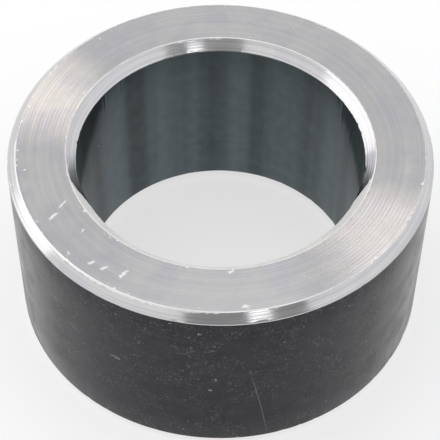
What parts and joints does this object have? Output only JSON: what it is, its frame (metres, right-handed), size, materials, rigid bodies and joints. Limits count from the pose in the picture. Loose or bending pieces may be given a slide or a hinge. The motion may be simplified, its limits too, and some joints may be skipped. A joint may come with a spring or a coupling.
{
  "type": "spacer sleeve",
  "caption": "Short thick-walled round spacer sleeve with a plain bore, square end faces and chamfered corners.",
  "frame": {"origin": "centre of the bore at the end face that the sleeve stands on", "axes": "+Z along the bore axis, from the lower end face to the upper one; X and Y are equal"},
  "size_m": [0.0381, 0.038, 0.0191],
  "materials": {
    "plated_steel": "turned steel with a thin bright zinc plating, fine facing marks on the end faces"
  },
  "bodies": {
    "root": {"spacer_sleeve": "plated_steel"}
  },
  "joints": []
}
